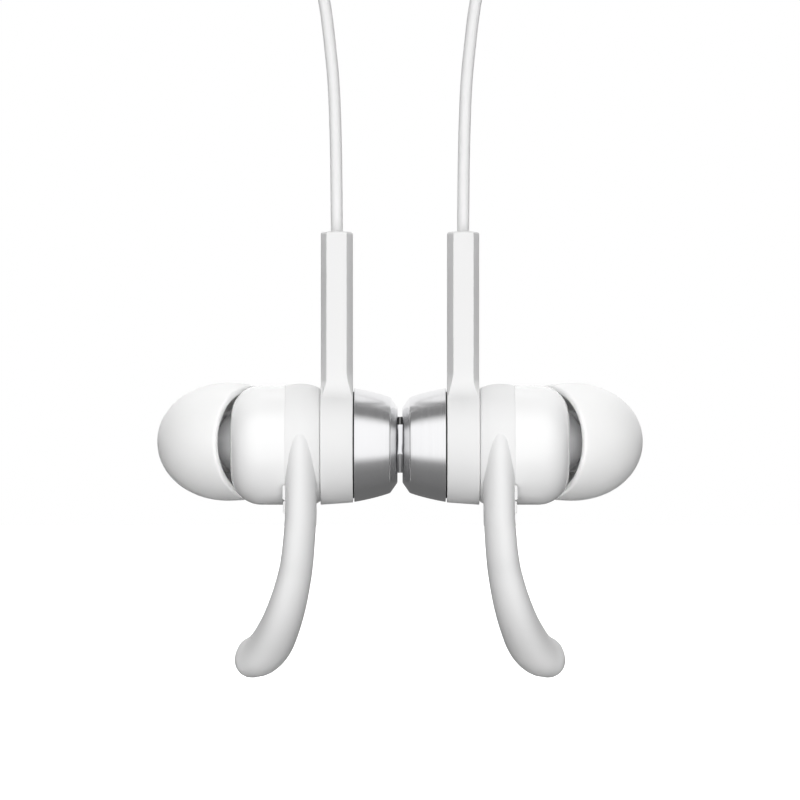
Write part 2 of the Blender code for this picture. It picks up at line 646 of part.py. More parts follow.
add(battery_cell, "battery_cell", "left")
for build in (main_board, usb_port, status_led, microphone_mesh):
    add(build, build.__name__, "right")
for key, u in BUTTONS.items():
    press = joint_empty(f"{key}_press", POD @ Vector((u, 0, POD_HEIGHT)), "right")
    add(lambda name: button(name, u), f"{key}_button", "right", press)
    add(lambda name: switch(name, u), f"{key}_switch", "right")
cover_swing = joint_empty("port_cover_swing", POD @ Vector((*COVER_HINGE, PORT_W)), "right")
add(port_cover, "port_cover", "right", cover_swing)
add(band_sleeve, "band_sleeve", "left")
add(band_wire, "band_wire", "left")
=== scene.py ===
"""Looks for the neckband earphones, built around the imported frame.

Each bud piece is modelled once, on the wearer's left (+X), and mirrored for the right. Sizes are in
millimetres, and MM turns them into Blender's metres. Places on a bud are (a, y, z) from its centre,
with a along the bud's axis, outward. Places on a pod are (u, v, w): forward, outward and up.
"""
import json
import math

import bmesh
import bpy
from mathutils import Matrix, Vector


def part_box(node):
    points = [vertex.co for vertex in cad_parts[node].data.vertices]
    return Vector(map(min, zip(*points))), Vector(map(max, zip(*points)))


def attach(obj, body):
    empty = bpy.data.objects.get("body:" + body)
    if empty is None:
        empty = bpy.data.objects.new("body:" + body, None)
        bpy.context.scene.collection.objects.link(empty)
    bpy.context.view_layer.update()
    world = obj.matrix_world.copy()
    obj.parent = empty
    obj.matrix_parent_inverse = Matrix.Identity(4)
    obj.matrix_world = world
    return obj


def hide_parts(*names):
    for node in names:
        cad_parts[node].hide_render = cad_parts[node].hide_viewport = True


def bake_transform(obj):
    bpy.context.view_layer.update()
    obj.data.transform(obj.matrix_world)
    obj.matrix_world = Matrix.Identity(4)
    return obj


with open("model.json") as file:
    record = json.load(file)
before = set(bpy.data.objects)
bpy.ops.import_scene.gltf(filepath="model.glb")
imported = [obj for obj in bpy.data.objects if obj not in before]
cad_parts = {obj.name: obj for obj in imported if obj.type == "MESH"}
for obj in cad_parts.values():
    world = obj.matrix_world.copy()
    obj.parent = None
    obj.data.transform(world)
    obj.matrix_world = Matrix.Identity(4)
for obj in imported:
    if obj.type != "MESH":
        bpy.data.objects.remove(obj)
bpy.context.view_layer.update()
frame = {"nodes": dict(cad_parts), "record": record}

MM = 0.001
SIDES = ("left", "right")

# Driving sizes, close to the CAD model's. A name in _R is a radius.
CAP_LOW, CAP_HIGH = (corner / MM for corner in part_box("end_cap_left"))
BUD_Y, BUD_Z = (CAP_LOW.y + CAP_HIGH.y) / 2, (CAP_LOW.z + CAP_HIGH.z) / 2
CAP_BACK, CAP_RIM = CAP_LOW.x, CAP_HIGH.x
CAP_RECESS_R, CAP_FLOOR, MAGNET_R = 3.1, 0.62, 3.8
CONTACT_START, CONTACT_END, CONTACT_R = 0.015, 0.52, 3.0
# The PAD_ sizes place a black block on the clasp's face, which is painted shade.
FLAT_HEIGHTS, PAD_HEIGHTS, PAD_END = (-0.86, 2.27), (2.27, 3.05), 0.26
PAD_DEPTH, PAD_PROUD, PAD_GAP = 1.5, 0.1, 0.02
SEAL_START, SEAL_END, SEAL_INNER_R, SEAL_OUTER_R = 4.65, 5.35, 5.15, 5.75
RING_START, RING_END, RING_BORE_R = 5.07, 8.56, 5.3
RING_BACK_R, BODY_R = 6.2, 6.45
STEM_CENTRE, STEM_WIDTH, STEM_DEPTH = 6.81, 3.45, 5.8
STEM_FOOT, STEM_TOP, STEM_TOP_ROUNDING = 4.5, 23.0, 0.3
CAP_SIDE_CHAMFER, FIN_SIDE_CHAMFER, CHAMFER_DEPTH, STEM_FILLET = 0.66, 0.63, 1.9, 2.6
# Heights between which the stem's chamfers grow, on the cap's side and on the fin's
FADE_START, CAP_SIDE_FADE_END, FIN_SIDE_FADE_END, FADE_POWER = 4.9, 7.7, 6.9, 1.2
PASSAGE_R, GLAND_R, GLAND_FOOT = 0.75, 1.15, 20.0
FIN_START, FIN_END, FIN_BORE_R = 8.61, 12.32, 5.6
NECK_R, SPIGOT_R, SPIGOT_START, SPIGOT_END = 5.45, 5.2, 7.5, 8.9
SHOULDER, FRONT_FACE, CORNER_R = 12.33, 18.25, 3.35
SHELL_BORE_R, SHELL_BORE_END, CHAMBER_END, CHAMBER_R = 4.75, 13.0, 16.9, 2.5
NOZZLE_FROM, NOZZLE_TILT, NOZZLE_RISE = 10.9, math.radians(38.0), 0.3
COLLAR_START, COLLAR_END, COLLAR_R = 5.2, 9.0, 3.2
STALK_R, LIP_R, SOUND_R, NOZZLE_END, MESH_R = 2.4, 2.55, 1.7, 14.8, 1.9
TIP_RIM, TIP_WIDEST, TIP_APEX, TIP_R, TIP_WALL, TIP_CORE_R = 6.75, 9.9, 18.35, 6.43, 0.5, 2.65
TIP_FULLNESS, TIP_MOUTH, TIP_MOUTH_R = 2.1, 17.9, 2.0
TIP_HOLLOW_END, TIP_HOLLOW_APEX = 16.3, 17.3

POD_REAR, POD_LEAN = (60.0, -68.0), math.radians(16.7)
POD_LENGTH, POD_WIDTH, POD_HEIGHT, POD_SPLIT, POD_WALL = 52.0, 12.0, 9.0, 4.5, 1.2
NOSE_END, RELIEF_END, RELIEF_R, RELIEF_TIP_R = 58.0, 69.0, 1.65, 0.95
BAND_WIDTH, BAND_HEIGHT, BAND_HANDLES, BAND_GAP = 6.0, 5.5, (37.0, 36.0), 0.25
CHANNEL_R = 0.75
BUTTONS = {"volume_up": 26.0, "play": 18.0, "volume_down": 10.0}
BUTTON_LENGTH, BUTTON_WIDTH, BUTTON_CORNER, HOLE_GAP = 6.0, 4.6, 1.2, 0.1
LED_U, LED_R, MIC_U, MIC_R = 4.6, 0.8, 46.0, 1.1
PORT_U, PORT_W, PORT_LENGTH, PORT_HALF_HEIGHT = 37.5, 5.1, 9.5, 1.85
COVER_HINGE, COVER_LENGTH, COVER_HALF_HEIGHT = (30.6, 6.75), 14.0, 2.6

CORD_R, CORD_BORE_R = 0.65, 0.62
# Points (x, y, z) of the left cord, from the strain relief down to the stem
CORD_ROUTE = (
    (39.2, -137.3, 4.2), (38.3, -140.4, 2.6), (37.6, -142.9, -0.6), (37.1, -144.5, -5.4),
    (36.5, -145.2, -12.0), (35.2, -145.3, -22.0), (32.9, -145.0, -36.0), (29.3, -144.3, -52.0),
    (25.0, -143.5, -68.0), (20.4, -142.6, -84.0), (15.9, -141.7, -100.0), (12.2, -141.0, -114.0),
    (9.75, -140.4, -124.4), (8.2, -140.1, -131.94), (7.5, -140.0, -137.4),
    (7.12, -140.0, -141.9), (6.91, -140.0, -148.5),
)
# Stations (a, y, z, radius) of the fin's arm, from its root to its end
FIN_ARM = (
    (10.75, -4.6, 1.7, 1.1), (10.72, -4.82, 0.8, 1.52), (10.67, -5.1, -0.5, 1.63),
    (10.64, -5.22, -1.6, 1.66), (10.62, -5.2, -4.4, 1.68), (10.62, -5.1, -7.6, 1.68),
    (10.68, -5.0, -8.6, 1.69), (10.92, -4.65, -11.5, 1.73), (11.18, -4.1, -13.4, 1.79),
    (11.61, -3.5, -15.4, 1.9), (12.15, -2.6, -17.35, 2.03), (12.86, -1.2, -19.35, 2.16),
    (13.82, 0.8, -21.38, 2.33), (14.75, 2.1, -22.5, 2.32), (15.62, 3.0, -22.9, 2.18),
)
# Depth and lean of the arm's front, in radii, and how much deeper and further back its root is
ARM_DEPTH, ARM_LEAN = 1.26, 0.18
ARM_ROOT_SHARE, ARM_ROOT_DEPTH, ARM_ROOT_SHIFT = 0.4, 0.49, 0.9
TAB_PARTS = ((-5.85, -4.25, 12.6), (-7.3, -5.95, 12.52))    # (low, high, outer edge) of each tab
TAB_ROOT, TAB_BACK, TAB_FRONT = 11.6, 4.9, 5.5
NOTCH_PLACE, NOTCH_R, NOTCH_REACH = (16.0, 0.3, -20.66), 0.17, 0.45

BUD = Matrix.Translation((0, BUD_Y, BUD_Z))
BUD_AXIS = BUD @ Matrix(((0, 0, 1, 0), (1, 0, 0, 0), (0, 1, 0, 0), (0, 0, 0, 1)))
COS, SIN = math.cos(NOZZLE_TILT), math.sin(NOZZLE_TILT)
NOZZLE_AXIS = BUD @ Matrix(((-SIN, 0, COS, NOZZLE_FROM), (COS, 0, SIN, 0),
                            (0, 1, 0, NOZZLE_RISE), (0, 0, 0, 1)))
STEM = BUD @ Matrix.Translation((STEM_CENTRE, 0, 0))
POD = Matrix.Translation((*POD_REAR, 0)) @ Matrix.Rotation(-math.pi / 2 - POD_LEAN, 4, "Z")


# ---------------------------------------------------------------- mesh helpers

def new_object(name, bm, place=Matrix()):
    bmesh.ops.recalc_face_normals(bm, faces=bm.faces)
    bm.transform(Matrix.Scale(MM, 4) @ place)
    mesh = bpy.data.meshes.new(name)
    bm.to_mesh(mesh)
    bm.free()
    obj = bpy.data.objects.new(name, mesh)
    bpy.context.scene.collection.objects.link(obj)
    return obj


def skin(name, rings, place=Matrix(), loop=False):
    """Join rings of points with faces. A ring of one point is a pole, and open ends are capped."""
    bm = bmesh.new()
    rows = [[bm.verts.new(point) for point in ring] for ring in rings]
    pairs = list(zip(rows, rows[1:]))
    if loop:
        pairs.append((rows[-1], rows[0]))
    for low, high in pairs:
        count = max(len(low), len(high))
        for i in range(count):
            j = (i + 1) % count
            if len(low) == 1:
                bm.faces.new((low[0], high[j], high[i]))
            elif len(high) == 1:
                bm.faces.new((low[i], low[j], high[0]))
            else:
                bm.faces.new((low[i], low[j], high[j], high[i]))
    if not loop:
        for row in (rows[0], rows[-1]):
            if len(row) > 1:
                bm.faces.new(row)
    return new_object(name, bm, place)


def circle(radius, count, start=0.0):
    angles = [start + 2 * math.pi * i / count for i in range(count)]
    return [(radius * math.cos(t), radius * math.sin(t)) for t in angles]


def filleted(profile, steps=5):
    """Round the corners of a profile: a point's third number is its fillet radius."""
    points = []
    last = len(profile) - 1
    for i, corner in enumerate(profile):
        here = Vector(corner[:2])
        if len(corner) == 2 or i in (0, last) and profile[0][1] == 0:
            points.append(tuple(here))
            continue
        to_before = (Vector(profile[i - 1][:2]) - here)
        to_after = (Vector(profile[(i + 1) % len(profile)][:2]) - here)
        reach = min(corner[2], to_before.length / 2, to_after.length / 2)
        start = here + to_before.normalized() * reach
        end = here + to_after.normalized() * reach
        for k in range(steps + 1):
            t = k / steps
            points.append(tuple((1 - t) ** 2 * start + 2 * t * (1 - t) * here + t ** 2 * end))
    return points


def turned(name, profile, place, segments=96):
    """Turn a profile of (distance along the axis, radius) about local Z."""
    rings = []
    for along, radius in profile:
        ring = circle(radius, segments) if radius else [(0, 0)]
        rings.append([(x, y, along) for x, y in ring])
    return skin(name, rings, place, loop=profile[0][1] != 0)


def cylinder(name, start, end, radius, place, segments=64):
    return turned(name, [(start, 0), (start, radius), (end, radius), (end, 0)], place, segments)


def outline(length, width, corners, inset, steps):
    """Rectangle about its centre with rounded corners: corners are (rear, front) radii."""
    half_u, half_v = length / 2 - inset, width / 2 - inset
    rear, front = (max(radius - inset, 0.05) for radius in corners)
    points = []
    for sign_u, sign_v, radius, start in ((1, 1, front, 0), (-1, 1, rear, 90),
                                          (-1, -1, rear, 180), (1, -1, front, 270)):
        for i in range(steps + 1):
            angle = math.radians(start + 90 * i / steps)
            points.append((sign_u * (half_u - radius) + radius * math.cos(angle),
                           sign_v * (half_v - radius) + radius * math.sin(angle)))
    return points


def rounded_levels(low, high, low_round, high_round, steps=6):
    """(height, inset) pairs of a block whose lower and upper edges are quarter rounds."""
    def quarter(edge, inward, radius):
        angles = (math.pi / 2 * i / steps for i in range(steps + 1))
        return [(edge + inward * radius * (1 - math.cos(t)), radius * (1 - math.sin(t))) for t in angles]

    bottom = quarter(low, 1, low_round) if low_round else [(low, 0)]
    top = quarter(high, -1, high_round)[::-1] if high_round else [(high, 0)]
    return bottom + top


def block(name, size, levels, place=POD, centre=(0, 0), corners=(0.4, 0.4), steps=6):
    rings = [[(centre[0] + u, centre[1] + v, height)
              for u, v in outline(size[0], size[1], corners, inset, steps)]
             for height, inset in levels]
    return skin(name, rings, place)


def spline(points, spacing):
    """Evenly spaced points on a Catmull-Rom curve through the given vectors of any size."""
    ends = [2 * points[0] - points[1], *points, 2 * points[-1] - points[-2]]
    fine = []
    for p0, p1, p2, p3 in zip(ends, ends[1:], ends[2:], ends[3:]):
        for i in range(24):
            t = i / 24
            fine.append(0.5 * (2 * p1 + (p2 - p0) * t + (2 * p0 - 5 * p1 + 4 * p2 - p3) * t ** 2
                               + (3 * p1 - p0 - 3 * p2 + p3) * t ** 3))
    fine.append(points[-1])
    total = sum((b - a).length for a, b in zip(fine, fine[1:]))
    count = round(total / spacing)
    spaced, travelled = [fine[0]], 0.0
    for a, b in zip(fine, fine[1:]):
        step = (b - a).length
        while len(spaced) < count and travelled + step >= len(spaced) * total / count:
            spaced.append(a.lerp(b, (len(spaced) * total / count - travelled) / step))
        travelled += step
    spaced.append(fine[-1])
    return spaced


def tube_rings(points, radii, sides, section=lambda x, y, share: (x, y)):
    """Rings square to a path, carried along it without twist.

    section reshapes the circle, given the share of the path that lies behind.
    """
    rings, tangents = [], []
    normal = Vector((1, 0, 0))
    for i, point in enumerate(points):
        tangent = (points[min(i + 1, len(points) - 1)] - points[max(i - 1, 0)]).normalized()
        normal = (normal - tangent * normal.dot(tangent)).normalized()
        across = tangent.cross(normal)
        outline_2d = [section(x, y, i / (len(points) - 1)) for x, y in circle(radii[i], sides)]
        rings.append([point + normal * x + across * y for x, y in outline_2d])
        tangents.append(tangent)
    return rings, tangents


def boolean(obj, tool, operation):
    modifier = obj.modifiers.new(operation.lower(), "BOOLEAN")
    modifier.operation = operation
    modifier.solver = "EXACT"
    modifier.object = tool
    bake(obj)
    bpy.data.objects.remove(tool)
    return obj


def cut(obj, tool):
    return boolean(obj, tool, "DIFFERENCE")


def join(obj, tool):
    return boolean(obj, tool, "UNION")


def bake(obj):
    graph = bpy.context.evaluated_depsgraph_get()
    mesh = bpy.data.meshes.new_from_object(obj.evaluated_get(graph))
    obj.modifiers.clear()
    obj.data = mesh


def mirror(obj):
    obj.data.transform(Matrix.Scale(-1, 4, (1, 0, 0)))
    obj.data.flip_normals()


# ---------------------------------------------------------------- materials

class Finish:
    """A Principled material whose detail comes from noise in the object's own metres."""

    def __init__(self, name, colour, roughness, metallic=0.0, **sockets):
        self.material = bpy.data.materials.new(name)
        self.material.use_nodes = True
        self.nodes = self.material.node_tree.nodes
        self.links = self.material.node_tree.links
        self.shader = self.nodes["Principled BSDF"]
        self.shader.inputs["Base Color"].default_value = (*colour, 1)
        self.shader.inputs["Roughness"].default_value = roughness
        self.shader.inputs["Metallic"].default_value = metallic
        for socket, value in sockets.items():
            self.shader.inputs[socket.replace("_", " ")].default_value = value
        self.colour, self.roughness = colour, roughness
        self.coordinates = self.nodes.new("ShaderNodeTexCoord").outputs["Object"]

    def noise(self, stretch, detail=3.0):
        """Noise with features about 1/stretch metres long along each axis."""
        mapping = self.nodes.new("ShaderNodeMapping")
        mapping.inputs["Scale"].default_value = stretch
        self.links.new(self.coordinates, mapping.inputs["Vector"])
        noise = self.nodes.new("ShaderNodeTexNoise")
        noise.inputs["Scale"].default_value = 1.0
        noise.inputs["Detail"].default_value = detail
        self.links.new(mapping.outputs["Vector"], noise.inputs["Vector"])
        return noise.outputs["Fac"]

    def tint(self, stretch, amount):
        """Vary the base colour by plus or minus amount."""
        mix = self.nodes.new("ShaderNodeMix")
        mix.data_type = "RGBA"
        dark = [max(c * (1 - amount), 0) for c in self.colour]
        light = [min(c * (1 + amount), 1) for c in self.colour]
        mix.inputs[6].default_value = (*dark, 1)
        mix.inputs[7].default_value = (*light, 1)
        self.links.new(self.noise(stretch), mix.inputs[0])
        self.links.new(mix.outputs[2], self.shader.inputs["Base Color"])
        return self

    def gloss(self, stretch, amount):
        """Vary the roughness by plus or minus amount."""
        spread = self.nodes.new("ShaderNodeMapRange")
        spread.inputs["From Min"].default_value = 0.3
        spread.inputs["From Max"].default_value = 0.7
        spread.inputs["To Min"].default_value = max(self.roughness - amount, 0.01)
        spread.inputs["To Max"].default_value = self.roughness + amount
        self.links.new(self.noise(stretch), spread.inputs["Value"])
        self.links.new(spread.outputs["Result"], self.shader.inputs["Roughness"])
        return self

    def grain(self, stretch, depth, strength=1.0, detail=3.0):
        """Fine relief, depth in millimetres."""
        bump = self.nodes.new("ShaderNodeBump")
        bump.inputs["Strength"].default_value = strength
        bump.inputs["Distance"].default_value = depth * MM
        self.links.new(self.noise(stretch, detail), bump.inputs["Height"])
        self.links.new(bump.outputs["Normal"], self.shader.inputs["Normal"])
        return self


def even(scale):
    return (scale, scale, scale)


GLOSS = Finish("gloss_white", (0.86, 0.86, 0.86), 0.16, Coat_Weight=0.4, Coat_Roughness=0.05)
GLOSS.gloss(even(900), 0.04).tint(even(150), 0.008).grain(even(500), 0.003, 0.3)
SATIN = Finish("satin_white", (0.765, 0.765, 0.765), 0.38)
SATIN.gloss(even(1500), 0.05).tint(even(200), 0.01).grain(even(9000), 0.004, 0.35)
SILICONE = Finish("white_silicone", (0.79, 0.79, 0.79), 0.55)
SILICONE.gloss(even(1200), 0.06).tint(even(250), 0.015).grain(even(12000), 0.004, 0.35)
SOFT_TIP = Finish("tip_silicone", (0.895, 0.895, 0.892), 0.42, Subsurface_Weight=0.6,
                  Subsurface_Scale=0.25 * MM)
SOFT_TIP.shader.inputs["Subsurface Radius"].default_value = (1.0, 1.0, 1.0)
SOFT_TIP.gloss(even(1200), 0.05).tint(even(250), 0.01).grain(even(9000), 0.003, 0.3)
CORD = Finish("cord_jacket", (0.78, 0.78, 0.78), 0.45)
CORD.gloss(even(1500), 0.05).tint(even(180), 0.02).grain((4000, 4000, 1500), 0.004, 0.35)
SLEEVE = Finish("band_silicone", (0.82, 0.82, 0.815), 0.52, Sheen_Weight=0.08)
SLEEVE.gloss(even(700), 0.06).tint(even(60), 0.015).grain(even(7000), 0.006, 0.4)
TURNED_ALUMINIUM = Finish("turned_aluminium", (0.80, 0.80, 0.81), 0.2, 1.0)
TURNED_ALUMINIUM.gloss((14000, 60, 60), 0.05).tint((9000, 40, 40), 0.03)
TURNED_ALUMINIUM.grain((16000, 30, 30), 0.0012, 0.5)
BRUSHED_ALUMINIUM = Finish("brushed_aluminium", (0.80, 0.80, 0.81), 0.26, 1.0)
BRUSHED_ALUMINIUM.gloss((60, 400, 12000), 0.06).grain((40, 300, 14000), 0.002, 0.5)
STEEL = Finish("polished_steel", (0.72, 0.72, 0.74), 0.12, 1.0)
STEEL.gloss(even(1200), 0.05).tint(even(600), 0.03).grain(even(3000), 0.001, 0.3)
GREY_METAL = Finish("grey_metal", (0.90, 0.90, 0.91), 0.45, 0.3)
GREY_METAL.gloss(even(2500), 0.06).tint(even(900), 0.06).grain(even(9000), 0.003, 0.4)
# black_rubber also colours the block on the clasp's face, which is painted shade.
BLACK = Finish("black_rubber", (0.025, 0.025, 0.025), 0.55)
BLACK.gloss(even(2000), 0.08).grain(even(9000), 0.004, 0.5)
MAGNET = Finish("nickel_plate", (0.62, 0.60, 0.56), 0.28, 1.0)
MAGNET.gloss(even(2500), 0.08).tint(even(800), 0.05)
FILM = Finish("amber_film", (0.55, 0.36, 0.12), 0.3)
FILM.gloss(even(1500), 0.05).tint(even(900), 0.08)
BOARD = Finish("solder_mask", (0.02, 0.16, 0.07), 0.4)
BOARD.tint(even(600), 0.35).gloss(even(1500), 0.08).grain(even(1800), 0.02, 0.5)
FOIL = Finish("cell_foil", (0.62, 0.63, 0.65), 0.35, 1.0)
FOIL.gloss(even(700), 0.1).tint(even(500), 0.05).grain(even(900), 0.03, 0.5)
LIGHT_PIPE = Finish("light_pipe", (0.88, 0.91, 0.94), 0.22, Transmission_Weight=0.25)
LIGHT_PIPE.gloss(even(2500), 0.05).tint(even(900), 0.03)


def woven(name, colour, pitch):
    """Metal gauze: two crossed sets of wires with dark gaps between them."""
    finish = Finish(name, colour, 0.35, 1.0)
    height = None
    for direction in ("X", "Z"):
        wave = finish.nodes.new("ShaderNodeTexWave")
        wave.bands_direction = direction
        wave.inputs["Scale"].default_value = 1 / (2 * math.pi * pitch * MM)
        finish.links.new(finish.coordinates, wave.inputs["Vector"])
        if height is None:
            height = wave.outputs["Fac"]
            continue
        larger = finish.nodes.new("ShaderNodeMath")
        larger.operation = "MAXIMUM"
        finish.links.new(height, larger.inputs[0])
        finish.links.new(wave.outputs["Fac"], larger.inputs[1])
        height = larger.outputs["Value"]
    mix = finish.nodes.new("ShaderNodeMix")
    mix.data_type = "RGBA"
    mix.inputs[6].default_value = (0.01, 0.01, 0.01, 1)
    mix.inputs[7].default_value = (*colour, 1)
    finish.links.new(height, mix.inputs[0])
    finish.links.new(mix.outputs[2], finish.shader.inputs["Base Color"])
    bump = finish.nodes.new("ShaderNodeBump")
    bump.inputs["Distance"].default_value = 0.05 * MM
    finish.links.new(height, bump.inputs["Height"])
    finish.links.new(bump.outputs["Normal"], finish.shader.inputs["Normal"])
    return finish


GAUZE = woven("metal_gauze", (0.35, 0.35, 0.36), 0.22)


# ---------------------------------------------------------------- bud pieces

def contact_disc():
    """Polished face of the clasp. Its front carries a flat that tilts a little upward."""
    disc = turned("steel_face", filleted([(CONTACT_START, 0), (CONTACT_START, CONTACT_R, 0.04),
                                          (CONTACT_END, CONTACT_R, 0.1), (CONTACT_END, 0)]), BUD_AXIS)
    low, high = FLAT_HEIGHTS
    front_low, front_high = (-math.sqrt(CONTACT_R ** 2 - z ** 2) for z in (low, high))
    wedge = [[(x, front_low - 2, low - 1), (x, front_low, low), (x, front_high, high),
              (x, front_high - 3, high + 1)] for x in (-1, 2)]
    cut(disc, skin("flat", wedge, BUD))
    # Recess for the black block of painted shade.
    return cut(disc, contact_pad(PAD_GAP))


def contact_pad(clearance=0.0):
    """Small black block let into the clasp's face above the flat. It is painted shade: a dark thing put
    where the top of the face is in shade.
    """
    low, high = PAD_HEIGHTS
    front = -math.sqrt(CONTACT_R ** 2 - low ** 2) - PAD_PROUD
    size = (PAD_END - CONTACT_START + 2 * clearance, PAD_DEPTH + 2 * clearance)
    return block("contact_pad", size, ((low - clearance, 0), (high + clearance, 0)), BUD,
                 ((CONTACT_START + PAD_END) / 2, front + PAD_DEPTH / 2), (0.02, 0.02), 3)


def end_cap():
    profile = [
        (CAP_FLOOR, 0), (CAP_FLOOR, CAP_RECESS_R), (CAP_BACK, CAP_RECESS_R, 0.06),
        (CAP_BACK, 4.05, 0.12), (1.05, 5.18, 0.14), (1.7, 5.40, 0.3), (2.5, 5.63, 0.4), (3.4, 5.85, 0.4),
        (4.2, 6.02, 0.4), (CAP_RIM, 6.15, 0.08), (CAP_RIM, SEAL_OUTER_R + 0.1),
        (SEAL_START - 0.1, SEAL_OUTER_R + 0.1), (SEAL_START - 0.1, 4.9), (3.4, 4.6),
        (3.2, MAGNET_R + 0.1), (1.3, MAGNET_R + 0.1), (1.3, 0),
    ]
    return turned("brushed_end_cap", filleted(profile), BUD_AXIS, 128)


def cap_seal():
    profile = [(SEAL_START, SEAL_INNER_R, 0.1), (SEAL_START, SEAL_OUTER_R, 0.1),
               (SEAL_END, SEAL_OUTER_R, 0.1), (SEAL_END, SEAL_INNER_R, 0.1)]
    return turned("seal_ring", filleted(profile), BUD_AXIS)


def stem_shell():
    """Ring and stem in one moulding. The stem's front spreads into the ring as its chamfers fade."""
    step_r, step_end = SEAL_OUTER_R + 0.1, SEAL_END + 0.1
    ring = turned("stem_and_ring", filleted([
        (RING_START, step_r), (RING_START, RING_BACK_R, 0.08), (6.2, 6.29, 0.5), (RING_END, BODY_R, 0.08),
        (RING_END, RING_BORE_R), (step_end, RING_BORE_R), (step_end, step_r)]), BUD_AXIS, 192)
    join(ring, stem())
    cut(ring, cylinder("seal_seat", 4.0, step_end, step_r, BUD_AXIS, 128))
    cut(ring, cylinder("ring_bore", 4.0, RING_END + 1, RING_BORE_R, BUD_AXIS, 128))
    foot, seat, seat_r = STEM_FOOT + 0.1, GLAND_FOOT - 0.1, GLAND_R + 0.1
    passage = [(foot, 0), (foot, PASSAGE_R), (seat, PASSAGE_R), (seat, seat_r), (STEM_TOP + 1, seat_r),
               (STEM_TOP + 1, 0)]
    return cut(ring, turned("passage", passage, STEM, 48))


def stem_front(crown, z):
    """Distance of the stem's front from the bud's axis: flat, then a fillet, then the ring's crown."""
    half_depth = STEM_DEPTH / 2
    centre_y = half_depth + STEM_FILLET
    centre_z = math.sqrt((crown + STEM_FILLET) ** 2 - centre_y ** 2)
    if z >= centre_z:
        return half_depth
    if z >= centre_z * crown / (crown + STEM_FILLET):
        return centre_y - math.sqrt(STEM_FILLET ** 2 - (centre_z - z) ** 2)
    return math.sqrt(max(crown ** 2 - z ** 2, 0.0))


def stem():
    """Flattened hexagon of a stem. Its chamfers fade out as its front runs into the ring's crown."""
    half_width, rounding = STEM_WIDTH / 2, STEM_TOP_ROUNDING
    slope = (BODY_R - RING_BACK_R) / (RING_END - RING_START)
    sides = ((-1, CAP_SIDE_CHAMFER, CAP_SIDE_FADE_END), (1, FIN_SIDE_CHAMFER, FIN_SIDE_FADE_END))
    levels = [(STEM_FOOT + 0.1 * i, 0.0) for i in range(42)] + [(12.0, 0.0), (18.0, 0.0)]
    for i in range(7):
        t = math.pi / 2 * i / 6
        levels.append((STEM_TOP - rounding * (1 - math.sin(t)), rounding * (1 - math.cos(t))))
    rings = []
    for z, inset in levels:
        half = []
        for sign, chamfer, fade_end in sides:
            share = min(max((z - FADE_START) / (fade_end - FADE_START), 0.0), 1.0)
            keep = 1 - (1 - share) ** FADE_POWER
            crown = RING_BACK_R - 0.01 + slope * (STEM_CENTRE + sign * half_width - RING_START)
            front = stem_front(crown, z) - inset
            shoulder = max(front - CHAMFER_DEPTH * keep, 0.3)
            outer = sign * (half_width - inset)
            half.append(((outer, shoulder), (outer - sign * max(chamfer * keep, 0.02), front)))
        (cap_out, cap_in), (fin_out, fin_in) = half
        points = [fin_out, fin_in, cap_in, cap_out]
        points += [(x, -y) for x, y in reversed(points)]
        rings.append([(x, y, z) for x, y in points])
    return skin("stem", rings, STEM)


def cord_gland():
    profile = [(GLAND_FOOT, 0), (GLAND_FOOT, GLAND_R), (STEM_TOP, GLAND_R, 0.15),
               (STEM_TOP, CORD_BORE_R), (STEM_TOP - 0.4, CORD_BORE_R), (STEM_TOP - 0.4, 0)]
    return turned("cord_grommet", filleted(profile), STEM, 48)


def front_shell():
    corner = [(FRONT_FACE - CORNER_R + CORNER_R * math.cos(t),
               BODY_R - CORNER_R + CORNER_R * math.sin(t))
              for t in (math.radians(5 * i) for i in range(19))]
    profile = [
        (FRONT_FACE, 0), *corner, (SHOULDER, BODY_R), (SHOULDER, NECK_R),
        (SPIGOT_END, NECK_R), (SPIGOT_END, SPIGOT_R), (SPIGOT_START, SPIGOT_R),
        (SPIGOT_START, SHELL_BORE_R), (SHELL_BORE_END, SHELL_BORE_R), (CHAMBER_END, CHAMBER_R),
        (CHAMBER_END, 0),
    ]
    shell = turned("gloss_front_shell", filleted(profile), BUD_AXIS, 128)
    seat, clear = COLLAR_START - 0.1, COLLAR_R + 0.06
    hole = [(3.0, 0), (3.0, SOUND_R), (seat, SOUND_R), (seat, clear), (12.0, clear), (12.0, 0)]
    return cut(shell, turned("nozzle_hole", hole, NOZZLE_AXIS, 96))


def nozzle():
    profile = [
        (COLLAR_START, SOUND_R), (COLLAR_START, COLLAR_R), (COLLAR_END, COLLAR_R, 0.3),
        (COLLAR_END, STALK_R, 0.2), (13.4, STALK_R), (13.4, LIP_R, 0.1),
        (NOZZLE_END - 0.4, LIP_R, 0.2), (NOZZLE_END, STALK_R, 0.1), (NOZZLE_END, MESH_R + 0.1),
        (14.3, MESH_R + 0.1), (14.3, SOUND_R),
    ]
    return turned("metal_nozzle", filleted(profile), NOZZLE_AXIS)


def nozzle_mesh():
    """Gauze disc, slightly domed."""
    rings = [[(0, 0, 14.4)]]
    rings += [[(x, y, 14.4) for x, y in circle(MESH_R, 64)]]
    for radius, lift in ((MESH_R, 0.0), (1.4, 0.06), (0.8, 0.1)):
        rings.append([(x, y, 14.6 + lift) for x, y in circle(radius, 64)])
    rings.append([(0, 0, 14.72)])
    return skin("gauze_disc", rings, NOZZLE_AXIS)


